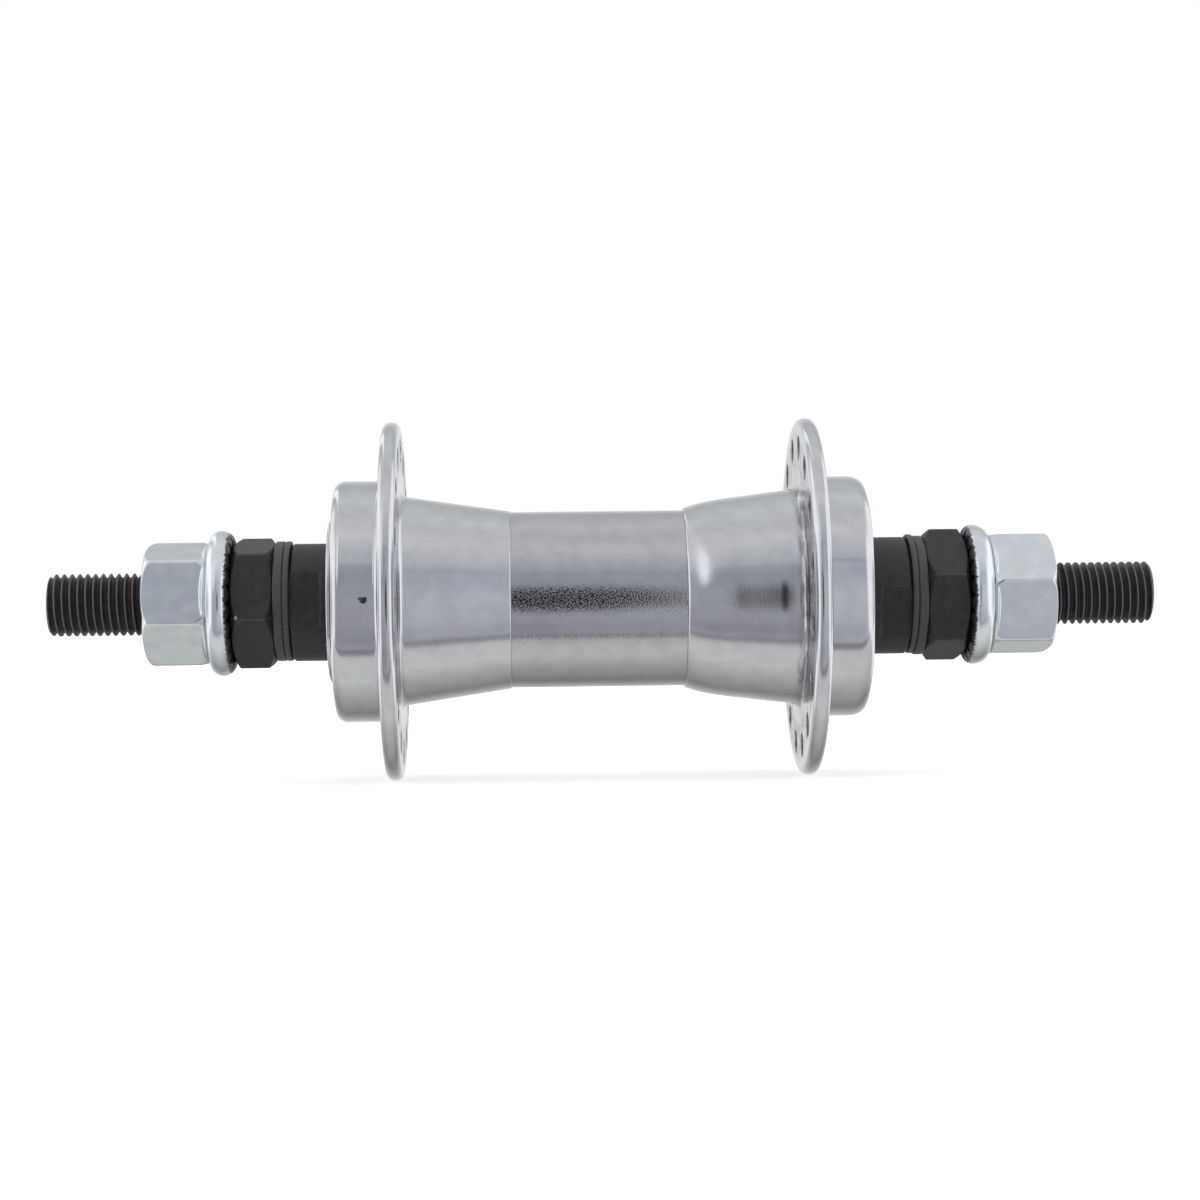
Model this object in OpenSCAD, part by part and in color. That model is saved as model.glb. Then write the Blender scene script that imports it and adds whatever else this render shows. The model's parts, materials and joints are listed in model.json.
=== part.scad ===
// Bicycle front hub with cup and cone bearings and track nuts.
// The axle lies along X, the middle between the two locknut faces is the origin, +Z is up.
// Millimetres throughout.

/* [Axle] */
// Length of the axle from end to end
axle_length = 139; // [128:0.5:170]
// Diameter over the thread crests
axle_d = 7.85; // [7.4:0.05:8.6]
// How far the axle sits to the right of the middle of the hub
axle_shift = 0.3; // [-1:0.1:1]
// Bevel at each end of the axle
axle_bevel = 0.45; // [0.2:0.05:0.8]
// Distance from one thread crest to the next
thread_pitch = 0.977; // [0.8:0.001:1.2]
// Depth of the thread grooves
thread_depth = 0.52; // [0.3:0.01:0.6]
// Width of the flat crest between two grooves
thread_crest = 0.14; // [0.08:0.01:0.3]
// How far the thread runs in past the outer face of each locknut
thread_run_in = 2; // [0.5:0.5:4]

/* [Locknuts and washers] */
// Width over the two locknuts, which the fork ends close on
over_locknuts = 92; // [89:0.5:104]
// Width of a locknut across its flats
locknut_af = 14.8; // [13.5:0.1:16]
// Thickness of a locknut
locknut_t = 5.25; // [4:0.05:7]
// Axial size of the bevel on a locknut's corners
locknut_bevel = 0.85; // [0.3:0.05:1.2]
// Radial size of the same bevel
locknut_bevel_in = 1.3; // [0.6:0.05:1.5]
// Thickness of the spacer washer beside the locknut
spacer_t = 1.2; // [0.8:0.05:3]
// Thickness of the thin washer beside the cone
thin_t = 0.8; // [0.5:0.05:1.5]
// Outside diameter of both washers
washer_od = 15.1; // [13.5:0.1:16.5]
// Bevel on the edges of both washers
washer_bevel = 0.15; // [0.05:0.01:0.2]
// Radial room between the axle and the hole of a washer
washer_room = 0.23; // [0.2:0.01:0.4]
// How far the right thin washer rides up in that room
right_thin_lift = 0.18; // [0:0.01:0.19]
// How far both left washers ride up in that room
left_washers_lift = 0.19; // [0:0.01:0.19]
// Height angle of one corner of the left locknut on the near side
left_locknut_turn = -14.2; // [-60:0.1:60]
// Height angle of one corner of the right locknut
right_locknut_turn = 17.5; // [-60:0.1:60]

/* [Cones] */
// Diameter of a cone over its body
cone_d = 14.8; // [13.6:0.1:15.6]
// Width across the two wrench flats of a cone
cone_af = 13; // [11.5:0.1:13.4]
// Length of the wrench flats
cone_flat_len = 3.9; // [2.5:0.1:4.5]
// Bevel on the outer edge of a cone
cone_bevel = 0.35; // [0.1:0.05:0.6]
// Length of a cone's nose inward of the middle of the balls
cone_nose = 1.9; // [1:0.1:2.5]
// Height angle that the near flat of the left cone faces
left_cone_turn = 2; // [-90:1:90]
// Height angle that the near flat of the right cone faces
right_cone_turn = -20; // [-90:1:90]

/* [Hub shell] */
// Distance between the middles of the two spoke flanges
flange_spacing = 52.1; // [48:0.1:54]
// Diameter of a spoke flange
flange_d = 45.1; // [43.5:0.1:60]
// Thickness of a spoke flange
flange_t = 2.1; // [1.9:0.1:3]
// Rounding of a flange's rim
rim_round = 0.9; // [0.2:0.05:0.9]
// Fillets where a flange meets its housing and its neck
flange_fillet = 0.9; // [0.3:0.1:1.2]
// Number of spoke holes in one flange
spoke_holes = 16; // [14:2:20]
// Diameter of a spoke hole
spoke_hole_d = 2.6; // [2.2:0.1:2.9]
// Width of metal left between a spoke hole and the flange's rim
rim_land = 2.25; // [1.8:0.05:2.5]
// Bevel round both mouths of a spoke hole
spoke_hole_bevel = 0.3; // [0.1:0.05:0.4]
// Outside diameter of a bearing housing
housing_d = 30.4; // [29.4:0.1:31.4]
// Length of a bearing housing outward of its flange
housing_length = 6.1; // [5.8:0.1:7]
// Axial size of the rounded mouth of the left housing
left_mouth_len = 1.35; // [0.5:0.05:2]
// Radial size of the rounded mouth of the left housing
left_mouth_in = 0.95; // [0.3:0.05:1]
// Axial size of the rounded mouth of the right housing
right_mouth_len = 2; // [0.5:0.05:2.5]
// Radial size of the rounded mouth of the right housing
right_mouth_in = 1.2; // [0.3:0.05:1.2]
// Diameter of the left neck where it meets its flange
left_root_d = 26; // [25.4:0.1:28]
// Diameter of the right neck where it meets its flange
right_root_d = 27.2; // [25.4:0.1:28]
// Diameter of the left neck at its seam with the barrel
left_seam_d = 22.4; // [22.2:0.1:23]
// Diameter of the right neck at its seam with the barrel
right_seam_d = 22.6; // [22.2:0.1:23]
// Length of the left neck from its flange to the seam
left_neck_length = 13.3; // [10:0.1:16]
// Length of the right neck from its flange to the seam
right_neck_length = 14.25; // [10:0.1:16]
// Bulge of the left neck, where 0 is a straight taper
left_neck_bulge = 0; // [0:0.1:2]
// Bulge of the right neck
right_neck_bulge = 1; // [0:0.1:2]
// Outside diameter of the barrel
barrel_d = 22.2; // [21:0.1:22.2]
// Wall of the barrel
barrel_wall = 1.5; // [1:0.1:2]
// Length of each neck's spigot inside the barrel
spigot_length = 5; // [3:0.5:7]
// Wall of a spigot
spigot_wall = 1.3; // [0.8:0.1:1.6]

/* [Bearings] */
// Diameter of a ball
ball_d = 4.76; // [4.5:0.01:4.9]
// Number of balls in one bearing
ball_count = 10; // [8:1:10]
// Diameter of the circle through the middles of the balls
ball_circle_d = 17.4; // [17.2:0.1:17.8]
// Distance from the mouth of a housing in to the middle of the balls
ball_inset = 4.7; // [4.6:0.1:5]
// Outside diameter of a pressed-in cup
cup_od = 26.4; // [25.9:0.1:27]
// Length of the cup's wall outward of the middle of the balls
cup_lip = 2.5; // [2.3:0.05:2.6]
// Thickness of the cup's floor behind the balls
cup_floor = 0.85; // [0.6:0.05:1]
// Diameter of the hole in the cup's floor
cup_hole_d = 14; // [13.4:0.1:15]
// Diameter of the boss on the back of the cup
cup_boss_d = 22; // [20.5:0.1:22.6]
// Height of the boss on the back of the cup
cup_boss_h = 1.4; // [0.8:0.1:1.6]
// Ledge that the back of the cup seats on
cup_ledge = 1.2; // [0.6:0.1:1.6]
// Thickness of the dust cap's sheet
cap_t = 0.8; // [0.5:0.05:0.9]
// Length of the dust cap's skirt
cap_skirt = 1.4; // [1.2:0.05:1.5]
// Diameter of the raised middle of the dust cap
cap_dome_d = 20.6; // [19:0.1:22]
// Height of the raised middle of the dust cap
cap_dome_h = 0.8; // [0.3:0.05:0.9]
// How deep the left dust cap is pushed in, where the right one goes in as far as the cup
left_cap_depth = 0; // [0:0.05:0.6]
// Thickness of the cage where it passes in front of a ball
cage_web = 0.37; // [0.25:0.01:0.45]
// Radial room between the cage and the cup
cage_room = 0.28; // [0.2:0.01:0.35]
// How far outward of the middle of the balls the cage's inner face lies
cage_inset = 0.86; // [0.7:0.01:1]
// Bevel on the cage's outer corner, measured along the axle
cage_bevel = 0.75; // [0.5:0.05:1]

/* [Axle nuts] */
// Width of an axle nut across its flats
nut_af = 13.8; // [12.8:0.1:15]
// Height of the hexagon of an axle nut
nut_h = 8; // [6:0.1:11]
// Axial size of the rounding of a nut's outer corners
nut_round = 1.3; // [0.5:0.05:1.6]
// Radial size of the same rounding
nut_round_in = 1.6; // [0.6:0.05:1.8]
// Length of the round base at a nut's inner end
nut_base_t = 0.3; // [0.2:0.05:1.2]
// Length over which the flats run out onto the base
nut_runout = 0.4; // [0.1:0.05:0.6]
// Bevel on the edge of the base
nut_base_bevel = 0.15; // [0.05:0.05:0.2]
// How far the edge of the base lies inside the hexagon's corners
nut_base_in = 0.35; // [0.1:0.05:0.6]
// Length over which the corners taper down to the base
nut_taper = 1.2; // [0.6:0.1:2]
// Outside diameter of the left serrated washer
left_washer_d = 18.3; // [17:0.1:20]
// Outside diameter of the right serrated washer
right_washer_d = 17.7; // [17:0.1:20]
// Thickness of a serrated washer
toothed_washer_t = 2.95; // [2.5:0.05:3.5]
// Radial size of the rounding of its rim
toothed_washer_round = 1.35; // [0.8:0.05:1.5]
// Distance from the toothed face to the widest place of the left rim
left_washer_apex = 1.5; // [0.8:0.05:1.6]
// Distance from the toothed face to the widest place of the right rim
right_washer_apex = 1.1; // [0.8:0.05:1.6]
// Number of teeth on a serrated washer
tooth_count = 24; // [16:1:30]
// Depth of the gullets between the teeth
tooth_depth = 0.35; // [0.2:0.05:0.4]
// Width of a gullet at the toothed face
gullet_w = 1.1; // [0.6:0.1:1.2]
// Diameter of the nut's collar, which carries the washer
collar_d = 11; // [10.2:0.1:11.2]
// Diameter of the lip that keeps the washer on the nut
lip_d = 12.2; // [11.9:0.1:12.4]
// Thickness of the same lip
lip_t = 0.6; // [0.4:0.05:0.8]
// Height angle of one corner of the left nut on the near side
left_nut_turn = -17.6; // [-60:0.1:60]
// Height angle of one corner of the right nut
right_nut_turn = 13; // [-60:0.1:60]

/* [Fits] */
// Radial room between the axle and what is screwed on it
thread_clear = 0.05; // [0.02:0.01:0.1]
// Room between a ball and its races
race_clear = 0.05; // [0.03:0.01:0.1]
// Room between a ball and its pocket in the cage
pocket_clear = 0.08; // [0.05:0.01:0.1]
// Radial room between a cone and the hole of its dust cap
cap_clear = 0.35; // [0.25:0.05:0.6]
// Room left round a pressed-in piece
press_clear = 0.02; // [0.01:0.01:0.03]
// Room between pieces that turn face to face
face_clear = 0.05; // [0.03:0.01:0.1]
// Radial room between the nut's collar and its washer
collar_clear = 0.1; // [0.05:0.01:0.15]

/* [Hidden] */

// Places along the axle, measured outward from the middle of the hub
locknut_out = over_locknuts / 2;
locknut_in = locknut_out - locknut_t;
spacer_in = locknut_in - spacer_t;
cone_out = spacer_in - thin_t;
flange_in = flange_spacing / 2 - flange_t / 2;
flange_out = flange_spacing / 2 + flange_t / 2;
mouth = flange_out + housing_length;
left_seam = flange_in - left_neck_length;
right_seam = flange_in - right_neck_length;
ball_x = mouth - ball_inset;
nut_seat = locknut_out + face_clear;

// Radii that several pieces share
axle_r = axle_d / 2;
screwed_r = axle_r + thread_clear;
ball_r = ball_d / 2;
ball_circle_r = ball_circle_d / 2;
race_r = ball_r + race_clear;
cup_r = cup_od / 2;
cup_wall_r = ball_circle_r + race_r;
barrel_bore_r = barrel_d / 2 - barrel_wall;

// Places of the cup and the dust caps
cup_back = ball_x - race_r - cup_floor;
cup_shoulder = cup_back + cup_boss_h;
cup_front = ball_x + cup_lip;
left_cap_top = mouth - left_cap_depth;
right_cap_top = cup_front + press_clear + cap_skirt;

// Places on a serrated washer and its nut, measured outward from the toothed face
lip_top = tooth_depth + lip_t;
hex_base = toothed_washer_t + face_clear;

// Radius of the circle through the middles of the spoke holes
spoke_circle_r = flange_d / 2 - rim_land - spoke_hole_d / 2;

// Straight pieces that stand for a quarter of a round
round_steps = 6;

// Straight pieces that stand for the outline of a neck
neck_steps = 12;

// How far a cut runs on past the piece that it cuts
overshoot = 1;

// Points of an elliptic arc about a centre, as pairs of radius and place along the axle
function arc(centre, across, along, from, to) =
    [for (i = [0 : round_steps])
        let (a = from + (to - from) * i / round_steps)
        [centre[0] + across * cos(a), centre[1] + along * sin(a)]];

// Profile of the thread between two places, as equal grooves cut down from the crests
function thread(from, to) =
    let (count = floor((to - from) / thread_pitch))
    let (lead = (to - from - count * thread_pitch) / 2)
    [for (i = [0 : count - 1])
        each [
            [axle_r, from + lead + i * thread_pitch + thread_crest / 2],
            [axle_r - thread_depth, from + lead + (i + 0.5) * thread_pitch],
            [axle_r, from + lead + (i + 1) * thread_pitch - thread_crest / 2]]];

// Share of the neck's growth in radius at a share of its length
function swell(t, bulge) = (1 + bulge) * t / (1 + bulge * t);

// A turned piece: a profile of pairs of radius and place, spun about the axle
module turned(profile) {
    rotate([0, 90, 0])
    rotate_extrude($fn = 96)
    polygon(profile);
}

// A round bar along the axle between two places
module rod(r, from, to) {
    translate([from, 0, 0])
    rotate([0, 90, 0])
    cylinder(h = to - from, r = r, $fn = 96);
}

// A hexagonal bar along the axle with one corner at a height angle on the near side
module hex_bar(af, from, to, turn) {
    translate([from, 0, 0])
    rotate([-90 - turn, 0, 0])
    rotate([0, 90, 0])
    cylinder(h = to - from, r = af / sqrt(3), $fn = 6);
}

// The same piece on the left end of the hub
module on_left() {
    mirror([1, 0, 0])
    children();
}

// The axle: a shaft bevelled at both ends, threaded from each end to behind its locknut
module axle() {
    left = axle_shift - axle_length / 2;
    right = axle_shift + axle_length / 2;
    run_in = locknut_out - thread_run_in;
    color("#2b2a2d")
    turned(concat(
        [[0, left], [axle_r - axle_bevel, left], [axle_r, left + axle_bevel]],
        thread(left + axle_bevel, -run_in),
        thread(run_in, right - axle_bevel),
        [[axle_r, right - axle_bevel], [axle_r - axle_bevel, right], [0, right]]));
}

// A cone: nose, ball race, plain body and two wrench flats at its outer end
module cone(turn) {
    body_r = cone_d / 2;
    nose_r = ball_circle_r - race_r;
    nose_end = ball_x - cone_nose;
    color("#333236")
    difference() {
        turned(concat(
            [[screwed_r, cone_out], [screwed_r, nose_end],
                [nose_r - cone_bevel, nose_end], [nose_r, nose_end + cone_bevel]],
            arc([ball_circle_r, ball_x], race_r, race_r,
                180, acos((body_r - ball_circle_r) / race_r)),
            [[body_r, cone_out - cone_bevel], [body_r - cone_bevel, cone_out]]));
        for (side = [0, 180])
            rotate([side - turn, 0, 0])
            translate([cone_out - cone_flat_len, -cone_d, -cone_d])
            cube([2 * cone_flat_len, cone_d - cone_af / 2, 2 * cone_d]);
    }
}

// A plain washer with bevelled edges between two places
module washer(from, to) {
    r = washer_od / 2;
    hole_r = axle_r + washer_room;
    color("#4a494c")
    turned([[hole_r, from], [r - washer_bevel, from], [r, from + washer_bevel],
        [r, to - washer_bevel], [r - washer_bevel, to], [hole_r, to]]);
}

// A locknut: a hexagon bevelled at both ends
module locknut(turn) {
    corner_r = locknut_af / sqrt(3);
    clear = 0.5;
    slope = locknut_bevel * (1 + clear / locknut_bevel_in);
    color("#323135")
    difference() {
        intersection() {
            hex_bar(locknut_af, locknut_in, locknut_out, turn);
            turned([[0, locknut_in], [corner_r - locknut_bevel_in, locknut_in],
                [corner_r + clear, locknut_in + slope], [corner_r + clear, locknut_out - slope],
                [corner_r - locknut_bevel_in, locknut_out], [0, locknut_out]]);
        }
        rod(screwed_r, locknut_in - overshoot, locknut_out + overshoot);
    }
}

// The middle tube of the hub shell, pressed over both spigots
module barrel() {
    color("#a9a9ae")
    difference() {
        rod(barrel_d / 2, -left_seam, right_seam);
        rod(barrel_bore_r, -left_seam - overshoot, right_seam + overshoot);
    }
}

// One end of the hub shell: spigot, neck, spoke flange and bearing housing
module shell_end(seam, seam_r, root_r, bulge, mouth_len, mouth_in, first_hole) {
    spigot_r = barrel_bore_r - press_clear;
    spigot_bore_r = barrel_bore_r - spigot_wall;
    flange_r = flange_d / 2;
    housing_r = housing_d / 2;
    rim = min(rim_round, flange_t / 2 - 0.05);
    neck_end = flange_in - flange_fillet;
    color("#b8b8bd")
    difference() {
        turned(concat(
            [[spigot_bore_r, seam - spigot_length], [spigot_r, seam - spigot_length],
                [spigot_r, seam]],
            [for (i = [0 : neck_steps])
                let (t = i / neck_steps)
                [seam_r + (root_r - seam_r) * swell(t, bulge), seam + (neck_end - seam) * t]],
            arc([root_r + flange_fillet, neck_end], flange_fillet, flange_fillet, 170, 90),
            arc([flange_r - rim, flange_in + rim], rim, rim, -90, 0),
            arc([flange_r - rim, flange_out - rim], rim, rim, 0, 90),
            arc([housing_r + flange_fillet, flange_out + flange_fillet],
                flange_fillet, flange_fillet, -90, -180),
            arc([housing_r - mouth_in, mouth - mouth_len], mouth_in, mouth_len, 0, 90),
            [[cup_r, mouth], [cup_r, cup_shoulder], [cup_boss_d / 2, cup_shoulder],
                [cup_boss_d / 2, cup_back], [cup_boss_d / 2 - cup_ledge, cup_back],
                [spigot_bore_r, seam]]));
        for (i = [0 : spoke_holes - 1])
            rotate([(i + first_hole) * 360 / spoke_holes, 0, 0])
            translate([0, 0, spoke_circle_r])
            spoke_hole();
    }
}

// The drill of one spoke hole with its two bevels
module spoke_hole() {
    r = spoke_hole_d / 2;
    wide = r + spoke_hole_bevel;
    rod(r, flange_in - overshoot, flange_out + overshoot);
    translate([flange_in, 0, 0])
    rotate([0, 90, 0])
    cylinder(h = spoke_hole_bevel, r1 = wide, r2 = r, $fn = 48);
    translate([flange_out - spoke_hole_bevel, 0, 0])
    rotate([0, 90, 0])
    cylinder(h = spoke_hole_bevel, r1 = r, r2 = wide, $fn = 48);
}

// A bearing cup pressed into its housing, with the race on the inward side of the balls
module bearing_cup() {
    boss_r = cup_boss_d / 2 - press_clear;
    wall_r = cup_r - press_clear;
    floor_x = ball_x - race_r;
    color("#8f8f92")
    turned(concat(
        [[cup_hole_d / 2, cup_back], [boss_r, cup_back], [boss_r, cup_shoulder],
            [wall_r, cup_shoulder], [wall_r, cup_front]],
        [[cup_wall_r, cup_front]],
        arc([ball_circle_r, ball_x], race_r, race_r, 0, -90),
        [[cup_hole_d / 2, floor_x]]));
}

// A pressed sheet dust cap: skirt, flat ring and raised middle with the cone's hole
module dust_cap(top) {
    r = cup_r - press_clear;
    dome_r = cap_dome_d / 2;
    hole_r = cone_d / 2 + cap_clear;
    color("#a2a2a6")
    turned([[hole_r, top + cap_dome_h], [dome_r, top + cap_dome_h], [dome_r, top], [r, top],
        [r, top - cap_skirt], [r - cap_t, top - cap_skirt], [r - cap_t, top - cap_t],
        [dome_r - cap_t, top - cap_t], [dome_r - cap_t, top + cap_dome_h - cap_t],
        [hole_r, top + cap_dome_h - cap_t]]);
}

// The balls of one bearing, spaced evenly on their circle
module ball_ring(r) {
    for (i = [0 : ball_count - 1])
        rotate([i * 360 / ball_count, 0, 0])
        translate([ball_x, 0, ball_circle_r])
        sphere(r = r, $fn = 48);
}

// The ring that spaces the balls, with a pocket for each ball
module ball_cage() {
    front = ball_x + ball_r + cage_web;
    back = ball_x + cage_inset;
    rim_r = cup_wall_r - cage_room;
    color("#77777a")
    difference() {
        turned([[ball_circle_r, front], [ball_circle_r + ball_r / 2, front],
            [rim_r, front - cage_bevel], [rim_r, back], [ball_circle_r + cage_inset, back]]);
        ball_ring(ball_r + pocket_clear);
    }
}

// The washer that turns freely on the nut, toothed on the face that bites the fork end
module serrated_washer(d, apex_height) {
    r = d / 2;
    flat_r = r - toothed_washer_round;
    apex = nut_seat + apex_height;
    back = nut_seat + toothed_washer_t;
    hole_r = collar_d / 2 + collar_clear;
    pocket_r = lip_d / 2 + collar_clear;
    pocket_top = nut_seat + lip_top + face_clear;
    spare = 0.2;
    wide = gullet_w / 2 * (1 + spare / tooth_depth);
    color("#b9bfc4")
    difference() {
        turned(concat(
            [[pocket_r, nut_seat]],
            arc([flat_r, apex], toothed_washer_round, apex_height, -90, 0),
            arc([flat_r, apex], toothed_washer_round, back - apex, 0, 90),
            [[hole_r, back], [hole_r, pocket_top], [pocket_r, pocket_top]]));
        for (i = [0 : tooth_count - 1])
            rotate([i * 360 / tooth_count, 0, 0])
            translate([nut_seat, 0, pocket_r - overshoot])
            linear_extrude(r - pocket_r + 2 * overshoot)
            polygon([[-spare, -wide], [tooth_depth, 0], [-spare, wide]]);
    }
}

// An axle nut: hexagon on a round base, collar through the washer, and the lip that keeps it on
module axle_nut(turn) {
    corner_r = nut_af / sqrt(3);
    base_r = corner_r - nut_base_in;
    clear = 0.05;
    base = nut_seat + hex_base;
    shoulder = base + nut_base_t;
    top = base + nut_h;
    color("#b4bbc1")
    difference() {
        union() {
            intersection() {
                hex_bar(nut_af, base + nut_base_bevel, top, turn);
                turned(concat(
                    [[0, base], [base_r, base], [corner_r + clear, base + nut_taper]],
                    arc([corner_r - nut_round_in, top - nut_round],
                        nut_round_in + clear, nut_round, 0, 90),
                    [[0, top]]));
            }
            turned([[0, base], [base_r - nut_base_bevel, base], [base_r, base + nut_base_bevel],
                [base_r, shoulder], [nut_af / 2, shoulder + nut_runout],
                [0, shoulder + nut_runout]]);
            rod(collar_d / 2, nut_seat + tooth_depth, base);
            rod(lip_d / 2, nut_seat + tooth_depth, nut_seat + lip_top);
        }
        rod(screwed_r, nut_seat - overshoot, top + overshoot);
    }
}

module left_shell_end() {
    on_left()
    shell_end(left_seam, left_seam_d / 2, left_root_d / 2, left_neck_bulge,
        left_mouth_len, left_mouth_in, 0);
}

module right_shell_end() {
    shell_end(right_seam, right_seam_d / 2, right_root_d / 2, right_neck_bulge,
        right_mouth_len, right_mouth_in, 0.5);
}

axle();
on_left() cone(left_cone_turn);  // left_cone
cone(right_cone_turn);  // right_cone
translate([0, 0, left_washers_lift]) on_left() washer(cone_out, spacer_in);  // left_thin_washer
translate([0, 0, right_thin_lift]) washer(cone_out, spacer_in);  // right_thin_washer
translate([0, 0, left_washers_lift]) on_left() washer(spacer_in, locknut_in);  // left_spacer_washer
washer(spacer_in, locknut_in);  // right_spacer_washer
on_left() locknut(left_locknut_turn);  // left_locknut
locknut(right_locknut_turn);  // right_locknut
barrel();
left_shell_end();
right_shell_end();
on_left() bearing_cup();  // left_bearing_cup
bearing_cup();  // right_bearing_cup
on_left() dust_cap(left_cap_top);  // left_dust_cap
dust_cap(right_cap_top);  // right_dust_cap
on_left() ball_cage();  // left_ball_cage
ball_cage();  // right_ball_cage
on_left() color("#c9cacd") ball_ring(ball_r);  // left_balls
color("#c9cacd") ball_ring(ball_r);  // right_balls
on_left() serrated_washer(left_washer_d, left_washer_apex);  // left_serrated_washer
serrated_washer(right_washer_d, right_washer_apex);  // right_serrated_washer
on_left() axle_nut(left_nut_turn);  // left_axle_nut
axle_nut(right_nut_turn);  // right_axle_nut
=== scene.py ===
# A bicycle front hub with cup and cone bearings and nuts on its axle, seen from the side.
# Shapes are worked out in millimetres and angles in degrees; a mesh is in metres.

import json
import math

import bmesh
import bpy
import numpy as np
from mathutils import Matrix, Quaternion, Vector

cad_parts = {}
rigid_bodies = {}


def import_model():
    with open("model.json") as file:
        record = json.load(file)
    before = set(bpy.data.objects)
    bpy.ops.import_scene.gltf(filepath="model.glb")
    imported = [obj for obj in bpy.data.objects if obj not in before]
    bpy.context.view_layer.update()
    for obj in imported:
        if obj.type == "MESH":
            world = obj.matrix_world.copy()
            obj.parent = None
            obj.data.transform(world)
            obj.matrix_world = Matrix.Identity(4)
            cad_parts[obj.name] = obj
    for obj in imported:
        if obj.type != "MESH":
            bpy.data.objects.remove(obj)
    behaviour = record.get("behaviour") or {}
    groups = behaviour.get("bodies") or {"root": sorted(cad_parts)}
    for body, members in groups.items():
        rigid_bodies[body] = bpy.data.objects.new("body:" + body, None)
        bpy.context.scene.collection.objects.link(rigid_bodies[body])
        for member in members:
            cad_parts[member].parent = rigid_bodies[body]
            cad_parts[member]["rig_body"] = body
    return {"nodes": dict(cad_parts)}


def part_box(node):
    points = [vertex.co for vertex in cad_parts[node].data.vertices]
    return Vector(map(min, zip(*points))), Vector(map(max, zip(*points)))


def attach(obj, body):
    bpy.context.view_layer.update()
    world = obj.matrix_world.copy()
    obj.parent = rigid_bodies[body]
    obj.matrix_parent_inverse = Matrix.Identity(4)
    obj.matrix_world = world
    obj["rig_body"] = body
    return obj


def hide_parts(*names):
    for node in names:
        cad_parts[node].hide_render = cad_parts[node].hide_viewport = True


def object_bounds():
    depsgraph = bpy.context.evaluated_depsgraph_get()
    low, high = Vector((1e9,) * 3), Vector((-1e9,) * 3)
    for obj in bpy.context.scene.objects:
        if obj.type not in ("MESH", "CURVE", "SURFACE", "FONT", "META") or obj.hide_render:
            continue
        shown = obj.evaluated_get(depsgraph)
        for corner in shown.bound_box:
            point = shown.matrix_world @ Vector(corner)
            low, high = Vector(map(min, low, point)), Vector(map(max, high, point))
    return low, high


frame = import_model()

cad_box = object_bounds()

# The camera stands level with the axle, a third of a metre away and a little left of the
# hub's middle. It is turned slightly, so that the right end of the axle sits higher.
PICTURE_WIDTH = 1200
HUB_MIDDLE_PIXEL = (600.1, 598.85)
CAMERA_DISTANCE = 0.336
CAMERA_AZIMUTH = math.radians(-1.65)
CAMERA_ROLL = math.radians(-0.7)
SENSOR_WIDTH = 36
FOCAL_LENGTH = 79.6
CLIP_START = 0.01

camera = bpy.data.objects.new("camera", bpy.data.cameras.new("camera"))
bpy.context.scene.collection.objects.link(camera)
bpy.context.scene.camera = camera
camera.data.sensor_width = SENSOR_WIDTH
camera.data.lens = FOCAL_LENGTH
camera.data.clip_start = CLIP_START
camera.data.shift_x = (PICTURE_WIDTH / 2 - HUB_MIDDLE_PIXEL[0]) / PICTURE_WIDTH
camera.data.shift_y = (HUB_MIDDLE_PIXEL[1] - PICTURE_WIDTH / 2) / PICTURE_WIDTH
camera.location = CAMERA_DISTANCE * Vector((math.sin(CAMERA_AZIMUTH), -math.cos(CAMERA_AZIMUTH), 0))
camera.rotation_mode = "QUATERNION"
camera.rotation_quaternion = (
    (-camera.location).to_track_quat("-Z", "Y") @ Quaternion((0, 0, 1), CAMERA_ROLL))

# The hub stands on a plain white floor under a white sky and four soft lamps. Metal mirrors
# a room instead: a bright table with a dark edge, a dim wall beyond it, a softbox on either
# side, a narrow one high on the left, and the dark round of a lens in front.
SKY_ON_PAINT = 0.62
FLOOR_SIZE = 3.0
FLOOR_GREY = 0.86
FLOOR_GLOW = 0.55
ROOM_RADIUS = 2.0
LENS_PLACE = (-3, -330, 2)
LENS_RADII = (42, 125)
LENS_FADE = (0.5, 1.0)
LENS_TONE = (0.01, 0.01, 0.012)
# The tone of the room at each angle from straight in front of the hub, counted upwards
ROOM_TONES = (
    (-180, (0.95, 0.95, 0.94)), (-152, (0.6, 0.6, 0.59)), (-132, (0.36, 0.36, 0.35)),
    (-96, (0.72, 0.72, 0.71)), (-80, (0.93, 0.935, 0.92)), (-66, (0.93, 0.935, 0.92)),
    (-54, (0.86, 0.86, 0.85)), (-51, (0.4, 0.4, 0.42)), (-47, (0.36, 0.36, 0.39)),
    (-44.5, (0.62, 0.62, 0.65)), (-37, (0.54, 0.54, 0.59)), (-24, (0.64, 0.64, 0.69)),
    (0, (0.7, 0.71, 0.75)), (25, (0.58, 0.6, 0.67)), (32, (0.63, 0.64, 0.7)),
    (34.5, (0.54, 0.55, 0.61)), (37, (0.72, 0.73, 0.77)), (45, (0.77, 0.78, 0.81)),
    (66, (0.98, 0.98, 1.0)), (90, (0.88, 0.88, 0.91)), (110, (0.97, 0.98, 0.99)),
    (146, (0.66, 0.67, 0.68)), (180, (0.95, 0.95, 0.95)))
SIDE_WALL = (0.45, 0.9)
SIDE_TONE = (0.86, 0.86, 0.88)
FRONT_FOOT = (0.37, 0.385)
FRONT_TOP = (0.58, 0.6)
FRONT_SLOPE = (-0.25, 0.35)
FRONT_DIM = 0.18
FRONT_RISE = 0.32
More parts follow.
